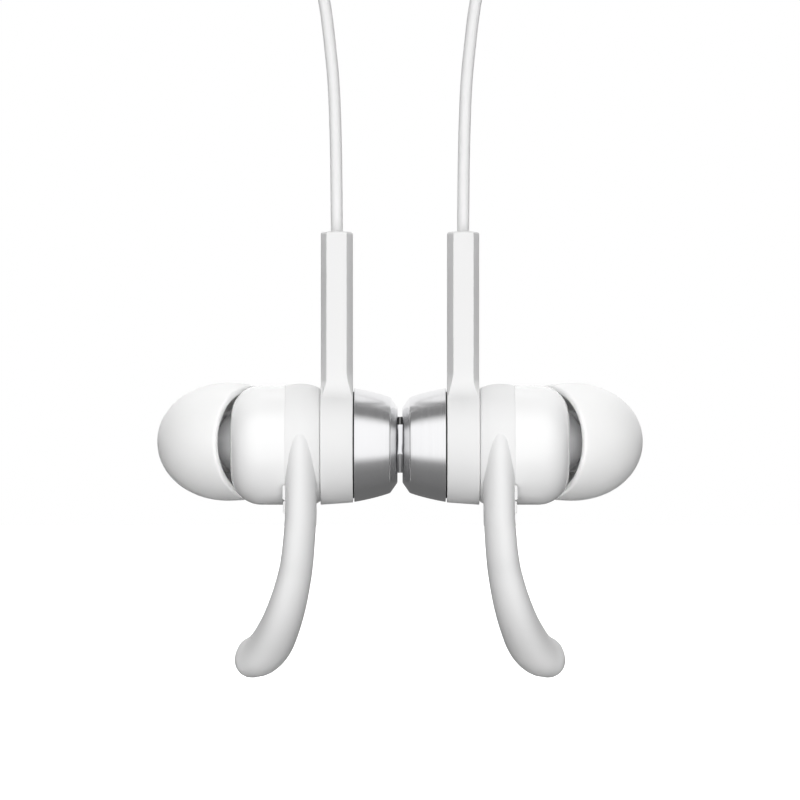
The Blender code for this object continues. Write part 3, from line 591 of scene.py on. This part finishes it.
def ear_tip():
    """Mushroom of thin silicone: egg-shaped dome, rolled rim, and the core that grips the nozzle."""
    def dome(radius, apex, along):
        share = (along - TIP_WIDEST) / (apex - TIP_WIDEST)
        return radius * max(1 - share ** TIP_FULLNESS, 0) ** (1 / TIP_FULLNESS)

    outer = []
    for i in range(36):
        t = TIP_WIDEST + (TIP_MOUTH - TIP_WIDEST) * math.sin(math.pi / 2 * i / 35)
        outer.append((t, dome(TIP_R, TIP_APEX, t)))
    inner = []
    for i in range(20):
        t = TIP_WIDEST + (TIP_HOLLOW_END - TIP_WIDEST) * math.sin(math.pi / 2 * (19 - i) / 19)
        inner.append((t, dome(TIP_R - TIP_WALL, TIP_HOLLOW_APEX, t)))
    profile = [
        (TIP_RIM, 6.15, 0.3), (7.4, 6.27, 0.4), (8.5, 6.38, 0.6), *outer,
        (TIP_MOUTH - 0.4, TIP_MOUTH_R, 0.15), (14.95, TIP_MOUTH_R), (14.95, TIP_CORE_R),
        (9.5, TIP_CORE_R, 0.2), (9.5, 3.4, 0.2),
        (14.9, 3.4, 0.3), *inner, (8.4, 5.85, 0.6), (7.5, 5.5, 0.3), (TIP_RIM + 0.2, 5.38, 0.3),
        (TIP_RIM, 5.6, 0.3),
    ]
    return turned("silicone_ear_tip", filleted(profile), NOZZLE_AXIS, 128)


def arm_section(x, y, share):
    """The arm's front is a deeper round than its back, most of all where it leaves the ring."""
    root = max(1 - share / ARM_ROOT_SHARE, 0.0)
    shift = ARM_ROOT_SHIFT * root
    if y <= 0:
        return x, y - shift
    return x + ARM_LEAN * (1 - root) * y, (ARM_DEPTH + ARM_ROOT_DEPTH * root) * y - shift


def ear_fin():
    """Crowned ring with the tapering arm grown out of its front."""
    crown = [(FIN_START, 6.05), (8.82, 6.24, 0.3), (9.4, 6.46, 0.5), (10.0, 6.58, 0.5), (10.7, 6.64, 0.5),
             (11.5, 6.58, 0.5), (FIN_END, BODY_R + 0.01)]
    ring = turned("silicone_fin", filleted([(FIN_START, FIN_BORE_R), *crown, (FIN_END, FIN_BORE_R)]),
                  BUD_AXIS, 128)
    stations = spline([Vector(station) for station in FIN_ARM], 0.4)
    points = [Vector(station[:3]) for station in stations]
    rings, tangents = tube_rings(points, [station[3] for station in stations], 48, arm_section)
    end, forward, radius = points[-1], tangents[-1], stations[-1][3]
    for i in range(1, 9):
        t = math.pi / 2 * i / 9
        last = rings[len(points) - 1]
        rings.append([end + forward * radius * math.sin(t) + (p - end) * math.cos(t) for p in last])
    rings.append([end + forward * radius])
    join(ring, skin("arm", rings, BUD))
    forward_up = BUD @ Matrix.Rotation(math.pi / 2, 4, "X")
    for low, high, edge in TAB_PARTS:
        join(ring, block("tab", (edge - TAB_ROOT, high - low),
                         rounded_levels(TAB_BACK, TAB_FRONT, 0, 0.08, 3), forward_up,
                         ((edge + TAB_ROOT) / 2, (low + high) / 2), (0.1, 0.2), 4))
    notch = Matrix.Translation(NOTCH_PLACE) @ Matrix.Rotation(math.pi / 2, 4, "X")
    cut(ring, cylinder("notch", -NOTCH_REACH, NOTCH_REACH, NOTCH_R, BUD @ notch, 24))
    return cut(ring, cylinder("bore", FIN_START - 1, FIN_END + 1, FIN_BORE_R, BUD_AXIS, 128))


# ---------------------------------------------------------------- cords

def cord_points():
    start = POD @ Vector((RELIEF_END - 0.25, 0, POD_SPLIT))
    end = STEM @ Vector((0, 0, STEM_TOP - 0.25))
    return spline([start, *(Vector(point) for point in CORD_ROUTE), end], 0.8)


def cord():
    points = cord_points()
    rings, _ = tube_rings(points, [CORD_R] * len(points), 20)
    return skin("cord_tube", rings)


# ---------------------------------------------------------------- neckband pieces

def along_pod(w, v=0.0):
    return POD @ Matrix.Translation((0, v, w)) @ Matrix.Rotation(math.pi / 2, 4, "Y")


def pod_half(name, levels, cavity_levels):
    half = block(name, (POD_LENGTH, POD_WIDTH), levels, POD, (POD_LENGTH / 2, 0), (3.0, 0.3), 10)
    cavity = block("cavity", (POD_LENGTH - 2 * POD_WALL, POD_WIDTH - 2 * POD_WALL), cavity_levels,
                   POD, (POD_LENGTH / 2, 0), (1.8, 0.3))
    cut(half, cavity)
    return cut(half, cylinder("cord_notch", POD_LENGTH - 3, POD_LENGTH + 1, RELIEF_R + 0.1,
                              along_pod(POD_SPLIT), 48))


def port_hole():
    heights = ((PORT_W - PORT_HALF_HEIGHT, 0), (PORT_W + PORT_HALF_HEIGHT, 0))
    return block("port_hole", (PORT_LENGTH, 4.0), heights, POD, (PORT_U, POD_WIDTH / 2), (0.8, 0.8))


def pod_lower(side):
    levels = rounded_levels(0, POD_SPLIT - 0.05, 0.8, 0.12)
    half = pod_half("pod_tray", levels, ((POD_WALL, 0), (POD_SPLIT + 1, 0)))
    cut(half, cylinder("wire_hole", -1, 2, CHANNEL_R + 0.1, along_pod(BAND_HEIGHT / 2), 32))
    return cut(half, port_hole()) if side == "right" else half


def pod_upper(side):
    levels = rounded_levels(POD_SPLIT + 0.05, POD_HEIGHT, 0.12, 2.0, 9)
    half = pod_half("pod_lid", levels, ((POD_SPLIT - 1, 0), (POD_HEIGHT - POD_WALL, 0)))
    if side == "right":
        cut(half, port_hole())
        size = (BUTTON_LENGTH + 2 * HOLE_GAP, BUTTON_WIDTH + 2 * HOLE_GAP)
        corners = (BUTTON_CORNER + HOLE_GAP, BUTTON_CORNER + HOLE_GAP)
        for u in BUTTONS.values():
            cut(half, block("button_hole", size, ((7, 0), (10, 0)), POD, (u, 0), corners))
        for u, radius in ((LED_U, LED_R), (MIC_U, MIC_R)):
            place = POD @ Matrix.Translation((u, 0, 0))
            cut(half, cylinder("hole", 7, 10, radius + HOLE_GAP, place, 48))
    return half


def pod_nose():
    start = POD_LENGTH + 0.15
    nose = block("aluminium_nose", (NOSE_END - start, POD_WIDTH),
                 rounded_levels(0, POD_HEIGHT, 0.8, 2.0, 9), POD, ((start + NOSE_END) / 2, 0),
                 (0.3, 3.0), 10)
    return cut(nose, cylinder("bore", POD_LENGTH - 1, NOSE_END + 1, RELIEF_R + 0.1,
                              along_pod(POD_SPLIT), 64))


def cord_relief():
    """Tapering sleeve with shallow grooves."""
    inside = POD_LENGTH - POD_WALL - 0.1
    profile = [(inside - 1.6, 0), (inside - 1.6, 2.4, 0.2), (inside, 2.4, 0.2), (inside, RELIEF_R),
               (NOSE_END + 0.3, RELIEF_R, 0.2)]
    taper = (RELIEF_R - RELIEF_TIP_R) / (RELIEF_END - NOSE_END - 0.3)
    for i in range(5):
        u = NOSE_END + 1.6 + 1.7 * i
        radius = RELIEF_R - taper * (u - NOSE_END - 0.3)
        profile += [(u, radius, 0.12), (u, radius - 0.22, 0.1), (u + 0.55, radius - 0.24, 0.1),
                    (u + 0.55, radius - 0.04, 0.12)]
    profile += [(RELIEF_END, RELIEF_TIP_R, 0.2), (RELIEF_END, 0.61), (RELIEF_END - 0.5, 0.61),
                (RELIEF_END - 0.5, 0)]
    return turned("cord_relief_sleeve", filleted(profile), along_pod(POD_SPLIT), 48)


def port_cover():
    bar = Matrix.Translation((COVER_HINGE[0] - 0.5, COVER_HINGE[1], 0))
    heights = rounded_levels(PORT_W - COVER_HALF_HEIGHT, PORT_W + COVER_HALF_HEIGHT, 0.3, 0.3)
    flap = block("port_flap", (COVER_LENGTH, 1.0), heights, POD @ bar, (COVER_LENGTH / 2, 0),
                 (0.45, 0.4))
    tongue = block("tongue", (7.6, 1.0), rounded_levels(PORT_W - 1.0, PORT_W + 1.0, 0.3, 0.3), POD,
                   (PORT_U, 6.0), (0.2, 0.2))
    join(flap, tongue)
    grip = block("grip", (0.5, 0.3), rounded_levels(PORT_W - 1.6, PORT_W + 1.6, 0.1, 0.1), POD,
                 (COVER_HINGE[0] + 12.2, COVER_HINGE[1] + 0.5), (0.12, 0.12))
    return join(flap, grip)


def status_led():
    profile = [(7.2, 0), (7.2, LED_R), (POD_HEIGHT, LED_R, 0.2), (POD_HEIGHT + 0.05, LED_R / 2, 0.2),
               (POD_HEIGHT + 0.06, 0)]
    return turned("led_dot", filleted(profile), POD @ Matrix.Translation((LED_U, 0, 0)), 48)


def microphone_mesh():
    profile = [(8.2, 0), (8.2, MIC_R), (POD_HEIGHT - 0.1, MIC_R, 0.1), (POD_HEIGHT - 0.1, 0)]
    return turned("microphone_gauze", filleted(profile), POD @ Matrix.Translation((MIC_U, 0, 0)), 48)


def button(u, mark):
    """Key cap with a dished top and a raised generic mark."""
    corners = (BUTTON_CORNER, BUTTON_CORNER)
    dish = [(9.55 - 0.12 * (1 - (i / 5) ** 2), 0.35 + 0.35 * (5 - i)) for i in range(5, -1, -1)]
    levels = [(7.0, 0), *rounded_levels(9.0, 9.5, 0, 0.35)[1:], *dish]
    key = block("key_cap", (BUTTON_LENGTH, BUTTON_WIDTH), levels, POD, (u, 0), corners)
    join(key, block("flange", (BUTTON_LENGTH + 1, BUTTON_WIDTH + 1), ((6.9, 0), (7.6, 0)), POD, (u, 0),
                    corners))
    join(key, block("foot", (2.2, 2.2), ((5.4, 0), (7.2, 0)), POD, (u, 0), (0.3, 0.3)))
    bars = {"plus": ((1.6, 0.36), (0.36, 1.6)), "minus": ((0.36, 1.6),), "dot": ((0.9, 0.9),)}[mark]
    for size in bars:
        corner = min(size) * 0.45
        join(key, block("mark", size, ((9.2, 0), (9.6, 0), (9.66, 0.06)), POD, (u, 0),
                        (corner, corner)))
    return key


def band_path(extra, steps=70):
    """Middle of the band from the right pod round the nape to the left pod."""
    forward = POD.to_3x3() @ Vector((1, 0, 0))
    end = POD @ Vector((-BAND_GAP, 0, 0))
    nape_handle = Vector((BAND_HANDLES[0], 0, 0))
    pod_handle = end - forward * BAND_HANDLES[1]
    half = []
    for i in range(steps + 1):
        t = i / steps
        half.append(3 * (1 - t) ** 2 * t * nape_handle + 3 * (1 - t) * t ** 2 * pod_handle
                    + t ** 3 * end)
    half.append(end + forward * extra)
    return [Vector((-point.x, point.y, 0)) for point in reversed(half[1:])] + half


def band_sleeve():
    path = band_path(1.0)
    outside = outline(BAND_WIDTH, BAND_HEIGHT, (1.8, 1.8), 0, 6)
    rings, inner = [], []
    for before, point, after in zip(path, path[1:], path[2:]):
        across = (after - before).cross(Vector((0, 0, 1))).normalized()
        middle = point + Vector((0, 0, BAND_HEIGHT / 2))
        rings.append([middle + across * x + Vector((0, 0, y)) for x, y in outside])
        angles = [math.atan2(y, x) for x, y in outside]
        inner.append([middle + (across * math.cos(t) + Vector((0, 0, math.sin(t)))) * CHANNEL_R
                      for t in angles])
    return skin("soft_band", rings + inner[::-1], loop=True)


# ---------------------------------------------------------------- put the pieces on the frame

def add(piece, name, side, body, node, finish):
    """Name a piece, mirror it if it is the right-hand one, and let it stand for its CAD node."""
    if side == "right":
        mirror(piece)
    piece.name = name
    piece.data.name = name
    piece.data.materials.clear()
    piece.data.materials.append(finish.material)
    piece.data.shade_smooth()
    piece.data.set_sharp_from_angle(angle=math.radians(38))
    if body:
        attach(piece, body)
    if node:
        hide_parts(node)
    return piece


BUD_PIECES = (
    (contact_disc, "steel", STEEL), (end_cap, "brushed_aluminium", TURNED_ALUMINIUM),
    (cap_seal, "black_rubber", BLACK), (stem_shell, "satin_white", SATIN),
    (cord_gland, "silicone", SILICONE), (front_shell, "gloss_white", GLOSS),
    (nozzle, "grey_metal", GREY_METAL), (nozzle_mesh, "grey_metal", GAUZE),
)
KEY_MARKS = {"volume_up": "plus", "play": "dot", "volume_down": "minus"}

for side in SIDES:
    sign = 1 if side == "left" else -1
    for build, slot, finish in BUD_PIECES:
        piece = build()
        add(piece, f"{piece.name.split('.')[0]}_{side}", side, f"{side}_bud",
            f"{build.__name__}_{side}", finish)
    # The black block on the clasp's face is painted shade.
    add(contact_pad(), f"contact_pad_{side}", side, f"{side}_bud", None, BLACK)
    add(ear_tip(), f"silicone_ear_tip_{side}", side, f"{side}_tip", f"ear_tip_{side}",
        SOFT_TIP)
    add(ear_fin(), f"silicone_fin_{side}", side, f"{side}_fin", f"ear_fin_{side}",
        SILICONE)
    for build, slot, finish in ((pod_lower, "gloss_white", GLOSS), (pod_upper, "gloss_white", GLOSS)):
        piece = build(side)
        add(piece, f"{piece.name.split('.')[0]}_{side}", side, "neckband",
            f"{build.__name__}_{side}", finish)
    for build, slot, finish in ((pod_nose, "brushed_aluminium", BRUSHED_ALUMINIUM),
                                (cord_relief, "silicone", SILICONE)):
        piece = build()
        add(piece, f"{piece.name.split('.')[0]}_{side}", side, "neckband",
            f"{build.__name__}_{side}", finish)

    piece = add(cord(), f"cord_tube_{side}", side, None, f"cord_{side}", CORD)
    path = [Vector((sign * point.x, point.y, point.z)) * MM for point in cord_points()]
    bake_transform(piece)

add(band_sleeve(), "soft_band", "left", "neckband", "band_sleeve", SLEEVE)
add(port_cover(), "port_flap", "right", "cover", "port_cover", SILICONE)
add(status_led(), "led_dot", "right", "neckband", "status_led", LIGHT_PIPE)
add(microphone_mesh(), "microphone_gauze", "right", "neckband", "microphone_mesh", GAUZE)
for key, u in BUTTONS.items():
    add(button(u, KEY_MARKS[key]), f"{key}_cap", "right", f"{key}_key", f"{key}_button",
        SATIN)

CAD_FINISHES = {"steel": STEEL, "plated_magnet": MAGNET, "film": FILM, "circuit_board": BOARD,
                "cell_foil": FOIL, "grey_metal": GREY_METAL, "light_pipe": LIGHT_PIPE}
for entry in frame["record"]["subparts"]:
    node = frame["nodes"][entry["node"]]
    if not node.hide_render:
        node.data.materials.clear()
        node.data.materials.append(CAD_FINISHES[entry["material_slot"]].material)


# ---------------------------------------------------------------- studio

VIEW_WIDTH, VIEW_RISE, CAMERA_DISTANCE, SENSOR = 86.4, 4.86, 600.0, 36.0
camera_data = bpy.data.cameras.new("camera")
camera_data.sensor_width = SENSOR
camera_data.lens = SENSOR * CAMERA_DISTANCE / VIEW_WIDTH
camera = bpy.data.objects.new("camera", camera_data)
camera.location = Vector((0, BUD_Y - CAMERA_DISTANCE, BUD_Z + VIEW_RISE)) * MM
camera.rotation_euler = (math.pi / 2, 0, 0)
bpy.context.scene.collection.objects.link(camera)
bpy.context.scene.camera = camera


# Most light comes from the world, and a weak softbox fills each side. For diffuse rays the world is a
# broad white tent, dim at the sides and underneath. For glossy rays it also has a dark slot overhead,
# which metal shows as bands. Each tent is the product of two tables of brightness. One goes round the
# X axis by angle: 0 is the viewer's side, 90 is overhead and -90 is below. The other goes by the
# sideways share of the direction.
DIFFUSE_ROUND = ((-180, 0.9), (-140, 0.2), (-120, 0.0), (-80, 0.0), (-60, 0.1), (-45, 0.85), (-30, 1.85),
                 (-15, 2.1), (0, 1.95), (30, 1.25), (60, 0.32), (90, 1.15), (120, 2.25), (150, 1.6),
                 (180, 0.9))
DIFFUSE_SIDEWAYS = ((0.0, 1.36), (0.15, 2.3), (0.3, 1.78), (0.45, 0.46), (0.6, 0.05), (1.0, 0.0))
GLOSSY_ROUND = ((-180, 0.4), (-170, 0.2), (-110, 0.2), (-60, 0.28), (-40, 0.38), (-24, 1.45), (50, 1.5),
                (60, 1.0), (68, 0.26), (96, 0.38), (106, 1.3), (176, 1.3), (180, 0.4))
GLOSSY_SIDEWAYS = ((0.0, 1.0), (0.62, 1.0), (0.85, 0.45), (1.0, 0.3))
TABLE_TOP = 2.5
SOFTBOX_ACROSS, SOFTBOX_FORWARD, SOFTBOX_UP, SOFTBOX_SIZE, SOFTBOX_ENERGY = 95, -50, 32, 70, 0.021
FLOOR_DEPTH, FLOOR_GLOW = 80, 0.85

world = bpy.data.worlds.new("studio")
bpy.context.scene.world = world
world.use_nodes = True
world.cycles.sampling_method = "NONE"
nodes, links = world.node_tree.nodes, world.node_tree.links
nodes.clear()


def world_math(operation, *values):
    node = nodes.new("ShaderNodeMath")
    node.operation = operation
    for socket, value in zip(node.inputs, values):
        if isinstance(value, (int, float)):
            socket.default_value = value
        else:
            links.new(value, socket)
    return node.outputs["Value"]


def world_table(factor, table):
    """Brightness read from a table of (position from 0 to 1, value), values up to TABLE_TOP."""
    node = nodes.new("ShaderNodeValToRGB")
    elements = node.color_ramp.elements
    elements[1].position = 1.0
    for _ in table[2:]:
        elements.new(0.5)
    for element, (position, value) in zip(elements, table):
        element.position = position
        element.color = (*[value / TABLE_TOP] * 3, 1)
    links.new(factor, node.inputs["Fac"])
    return world_math("MULTIPLY", node.outputs["Color"], TABLE_TOP)


split = nodes.new("ShaderNodeSeparateXYZ")
links.new(nodes.new("ShaderNodeTexCoord").outputs["Generated"], split.inputs[0])
to_viewer = world_math("MULTIPLY", split.outputs["Y"], -1.0)
angle = world_math("ARCTAN2", split.outputs["Z"], to_viewer)
turn = world_math("MULTIPLY_ADD", angle, 0.5 / math.pi, 0.5)
sideways = world_math("ABSOLUTE", split.outputs["X"])


def tent(around, across):
    light = world_math("MULTIPLY", world_table(turn, [(a / 360 + 0.5, v) for a, v in around]),
                       world_table(sideways, across))
    background = nodes.new("ShaderNodeBackground")
    links.new(light, background.inputs["Strength"])
    return background.outputs[0]


def either(ray, otherwise, then):
    choice = nodes.new("ShaderNodeMixShader")
    links.new(ray, choice.inputs[0])
    links.new(otherwise, choice.inputs[1])
    links.new(then, choice.inputs[2])
    return choice.outputs[0]


rays = nodes.new("ShaderNodeLightPath").outputs
backdrop = nodes.new("ShaderNodeBackground")
backdrop.inputs["Color"].default_value = (1, 1, 1, 1)
reflected = either(rays["Is Glossy Ray"], tent(DIFFUSE_ROUND, DIFFUSE_SIDEWAYS),
                   tent(GLOSSY_ROUND, GLOSSY_SIDEWAYS))
output = nodes.new("ShaderNodeOutputWorld")
links.new(either(rays["Is Camera Ray"], reflected, backdrop.outputs[0]), output.inputs["Surface"])


def softbox(name, place):
    """Square area light facing the buds. It is left out of reflections."""
    data = bpy.data.lights.new(name, "AREA")
    data.size = SOFTBOX_SIZE * MM
    data.energy = SOFTBOX_ENERGY
    light = bpy.data.objects.new(name, data)
    middle = Vector((0, BUD_Y, BUD_Z))
    light.location = (middle + Vector(place)) * MM
    light.rotation_euler = (-Vector(place)).to_track_quat("-Z", "Y").to_euler()
    light.visible_camera = False
    light.visible_glossy = False
    bpy.context.scene.collection.objects.link(light)


for side, across in zip(SIDES, (SOFTBOX_ACROSS, -SOFTBOX_ACROSS)):
    softbox(f"{side}_softbox", (across, SOFTBOX_FORWARD, SOFTBOX_UP))

floor_mesh = bmesh.new()
bmesh.ops.create_grid(floor_mesh, x_segments=2, y_segments=2, size=3000)
floor = new_object("floor", floor_mesh, Matrix.Translation((0, 0, BUD_Z - FLOOR_DEPTH)))
floor_finish = Finish("pale_floor", (0.9, 0.9, 0.9), 0.8)
floor_finish.shader.inputs["Emission Color"].default_value = (1, 1, 1, 1)
floor_finish.shader.inputs["Emission Strength"].default_value = FLOOR_GLOW
floor.data.materials.append(floor_finish.material)
floor.visible_diffuse = False
floor.visible_glossy = False

bpy.context.scene.view_settings.view_transform = "Standard"
